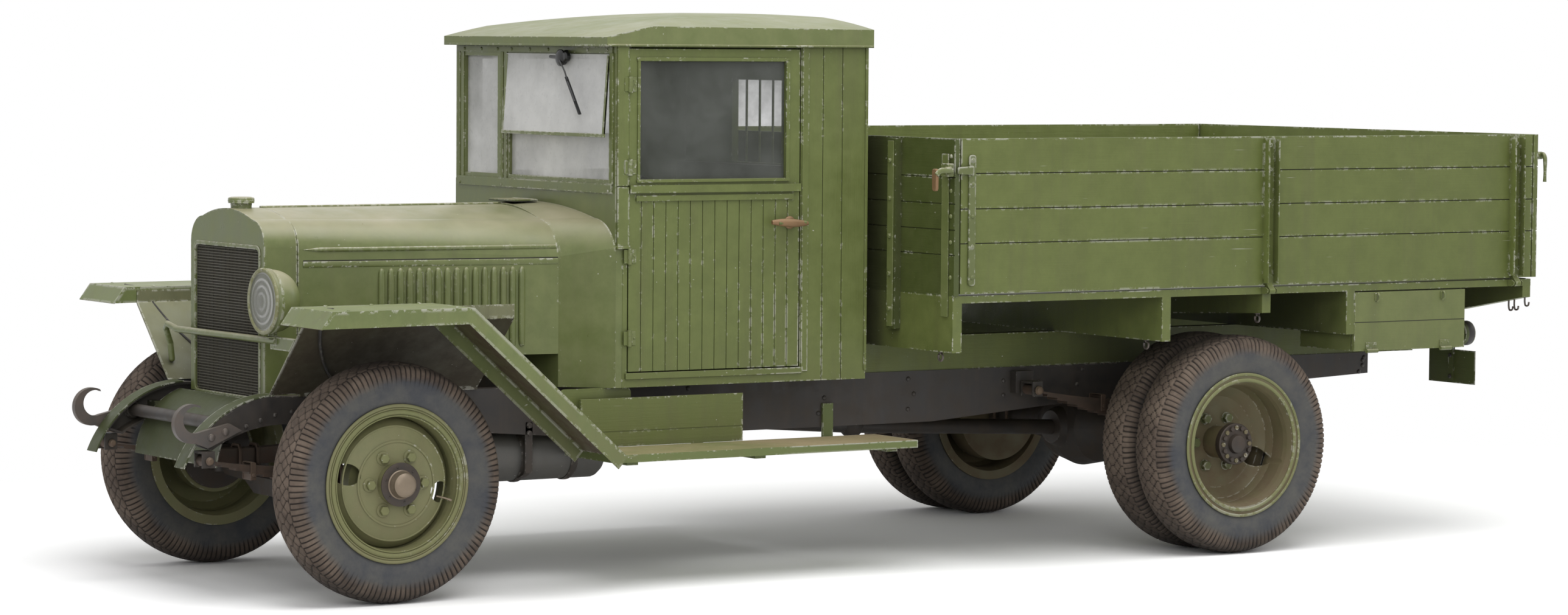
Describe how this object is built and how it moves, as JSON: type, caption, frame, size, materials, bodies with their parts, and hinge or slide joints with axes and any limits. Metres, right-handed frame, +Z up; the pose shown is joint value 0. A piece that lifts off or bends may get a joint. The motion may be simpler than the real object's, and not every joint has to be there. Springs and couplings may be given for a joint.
{
  "type": "cargo truck",
  "caption": "Two-axle cargo truck with a boxy wooden cab, flat bent fenders, one head lamp, twin rear wheels and a dropside plank bed",
  "frame": {"origin": "on the ground under the middle of the bounding box", "axes": "+X forward, +Y to the truck's left, +Z up"},
  "size_m": [6.1155, 2.386, 2.212],
  "materials": {
    "body_green": "satin, worn",
    "rim_green": "satin, dusty",
    "tyre_rubber": "matt, dusty",
    "frame_black": "satin",
    "bare_steel": "matt, rusty",
    "spring_steel": "matt, rusty",
    "board_green": "painted boards, worn",
    "board_tan": "bare worn wood",
    "glass": "dusty",
    "seat_leather": "matt",
    "cast_iron": "matt",
    "lamp_green": "satin, worn",
    "grille_steel": "satin",
    "wheel_black": "gloss",
    "wiper_black": "gloss"
  },
  "bodies": {
    "truck": {"frame_rails": "frame_black", "frame_cross_members": "frame_black", "frame_horn_covers": "body_green", "tow_hooks": "bare_steel", "leaf_springs": "spring_steel", "spring_hangers": "frame_black", "axle_front_beam": "frame_black", "axle_rear_housing": "frame_black", "engine_and_gearbox": "cast_iron", "drive_shaft": "frame_black", "exhaust": "bare_steel", "radiator_shell": "body_green", "radiator_core_and_grille": "grille_steel", "cowl": "body_green", "cab_front": "body_green", "cab_back": "board_green", "cab_sides": "board_green", "cab_floor_and_seat_box": "board_green", "seat_cushions": "seat_leather", "cab_roof": "body_green", "windscreen_glass": "glass", "windscreen_flap": "glass", "wiper": "wiper_black", "steering_column": "frame_black", "fenders": "body_green", "fender_aprons": "body_green", "running_boards": "board_tan", "splash_boards": "board_green", "head_lamp": "lamp_green", "lamp_bar": "body_green", "bed_floor": "board_green", "bed_front_board": "board_green", "toolbox": "board_green", "number_plate_and_lamp": "frame_black"},
    "knuckle_left": {"knuckle_left": "frame_black"},
    "knuckle_right": {"knuckle_right": "frame_black"},
    "tie_rod": {"tie_rod": "frame_black"},
    "steering_wheel": {"steering_wheel": "wheel_black"},
    "wheel_front_left": {"tyre_front_left": "tyre_rubber", "wheel_front_left": "rim_green"},
    "wheel_front_right": {"tyre_front_right": "tyre_rubber", "wheel_front_right": "rim_green"},
    "wheels_rear_left": {"tyres_rear_left": "tyre_rubber", "wheels_rear_left": "rim_green"},
    "wheels_rear_right": {"tyres_rear_right": "tyre_rubber", "wheels_rear_right": "rim_green"},
    "door_left": {"door_left": "board_green", "door_glass_left": "glass"},
    "door_right": {"door_right": "board_green", "door_glass_right": "glass"},
    "hood_left": {"hood_left": "body_green"},
    "hood_right": {"hood_right": "body_green"},
    "cowl_vent_lid": {"cowl_vent_lid": "body_green"},
    "bed_side_left": {"bed_side_left": "board_green"},
    "bed_side_right": {"bed_side_right": "board_green"},
    "tailgate": {"tailgate": "board_green"},
    "toolbox_lid": {"toolbox_lid": "board_green"}
  },
  "joints": [
    {"name": "steer_left", "type": "hinge", "parent": "truck", "child": "knuckle_left", "pos_m": [2.33, 0.65, 0.452], "axis": [0, 0, 1], "range_deg": [-26, 26]},
    {"name": "steer_right", "type": "hinge", "parent": "truck", "child": "knuckle_right", "pos_m": [2.33, -0.65, 0.452], "axis": [0, 0, 1], "range_deg": [-26, 26]},
    {"name": "tie_rod_pivot", "type": "hinge", "parent": "knuckle_left", "child": "tie_rod", "pos_m": [2.14, 0.65, 0.35], "axis": [0, 0, 1], "range_deg": [-26, 26]},
    {"name": "steering_wheel_turn", "type": "hinge", "parent": "truck", "child": "steering_wheel", "pos_m": [0.89, 0.33, 1.44], "axis": [-0.6428, 0, 0.766], "range_deg": [-414, 414]},
    {"name": "front_wheel_left_spin", "type": "hinge", "parent": "knuckle_left", "child": "wheel_front_left", "pos_m": [2.33, 0.755, 0.452], "axis": [0, 1, 0], "continuous": true},
    {"name": "front_wheel_right_spin", "type": "hinge", "parent": "knuckle_right", "child": "wheel_front_right", "pos_m": [2.33, -0.755, 0.452], "axis": [0, 1, 0], "continuous": true},
    {"name": "rear_wheels_left_spin", "type": "hinge", "parent": "truck", "child": "wheels_rear_left", "pos_m": [-1.48, 0.8875, 0.452], "axis": [0, 1, 0], "continuous": true},
    {"name": "rear_wheels_right_spin", "type": "hinge", "parent": "truck", "child": "wheels_rear_right", "pos_m": [-1.48, -0.8875, 0.452], "axis": [0, 1, 0], "continuous": true},
    {"name": "door_left_hinge", "type": "hinge", "parent": "truck", "child": "door_left", "pos_m": [1.214, 0.64603, 1.44], "axis": [0, 0, -1], "range_deg": [0, 70]},
    {"name": "door_right_hinge", "type": "hinge", "parent": "truck", "child": "door_right", "pos_m": [1.214, -0.64603, 1.44], "axis": [0, 0, 1], "range_deg": [0, 70]},
    {"name": "hood_left_hinge", "type": "hinge", "parent": "truck", "child": "hood_left", "pos_m": [1.957, 0, 1.451], "axis": [1, 0, 0], "range_deg": [0, 75]},
    {"name": "hood_right_hinge", "type": "hinge", "parent": "truck", "child": "hood_right", "pos_m": [1.957, 0, 1.451], "axis": [-1, 0, 0], "range_deg": [0, 75]},
    {"name": "vent_lid_hinge", "type": "hinge", "parent": "truck", "child": "cowl_vent_lid", "pos_m": [1.312, 0, 1.466], "axis": [0, -1, 0], "range_deg": [0, 40]},
    {"name": "bed_side_left_hinge", "type": "hinge", "parent": "truck", "child": "bed_side_left", "pos_m": [-1.485, 1.178, 1.092], "axis": [-1, 0, 0], "range_deg": [0, 170]},
    {"name": "bed_side_right_hinge", "type": "hinge", "parent": "truck", "child": "bed_side_right", "pos_m": [-1.485, -1.178, 1.092], "axis": [1, 0, 0], "range_deg": [0, 170]},
    {"name": "tailgate_hinge", "type": "hinge", "parent": "truck", "child": "tailgate", "pos_m": [-3.034, 0, 1.092], "axis": [0, -1, 0], "range_deg": [0, 170]},
    {"name": "toolbox_lid_hinge", "type": "hinge", "parent": "truck", "child": "toolbox_lid", "pos_m": [-2.312, 1.158, 0.826], "axis": [1, 0, 0], "range_deg": [-110, 0]}
  ],
  "couplings": [
    {"joint": "steer_right", "follows": "steer_left", "ratio": 1},
    {"joint": "tie_rod_pivot", "follows": "steer_left", "ratio": -1},
    {"joint": "steering_wheel_turn", "follows": "steer_left", "ratio": 15.9}
  ]
}
